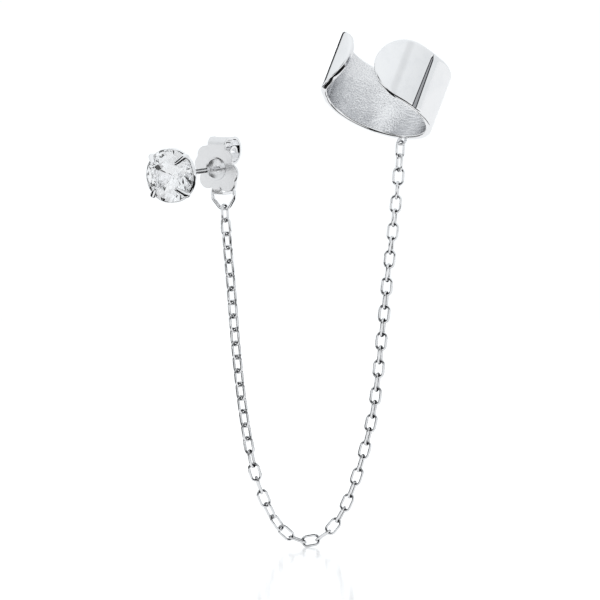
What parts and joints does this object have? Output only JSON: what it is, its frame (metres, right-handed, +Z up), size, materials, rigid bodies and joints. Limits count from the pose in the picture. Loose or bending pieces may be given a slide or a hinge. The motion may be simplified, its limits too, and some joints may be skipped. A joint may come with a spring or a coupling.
{
  "type": "ear chain earring",
  "caption": "Ear chain earring: a round stone stud on a post with a butterfly nut, joined by a hanging cable chain to a wide polished ear cuff with rounded, flared ends.",
  "frame": {"origin": "on the post's axis, midway between the setting's back and the nut's plate, where the ear lobe sits", "axes": "+Z up as worn and pictured, the picture's view looks along +Y, +X to the viewer's right"},
  "size_m": [0.034, 0.0164, 0.0572],
  "materials": {
    "clear_stone": "clear, faceted and polished",
    "polished_silver": "polished silver"
  },
  "bodies": {
    "nut_chain_cuff": {"butterfly_nut": "polished_silver", "nut_ring": "polished_silver", "chain": "polished_silver", "ear_cuff": "polished_silver"},
    "stud": {"claw_setting": "polished_silver", "stone": "clear_stone"}
  },
  "joints": [
    {"name": "post_slide", "type": "slide", "parent": "nut_chain_cuff", "child": "stud", "axis": [-0.5133, -0.8543, -0.0819], "range_m": [-0.0055, 0.0035]}
  ]
}
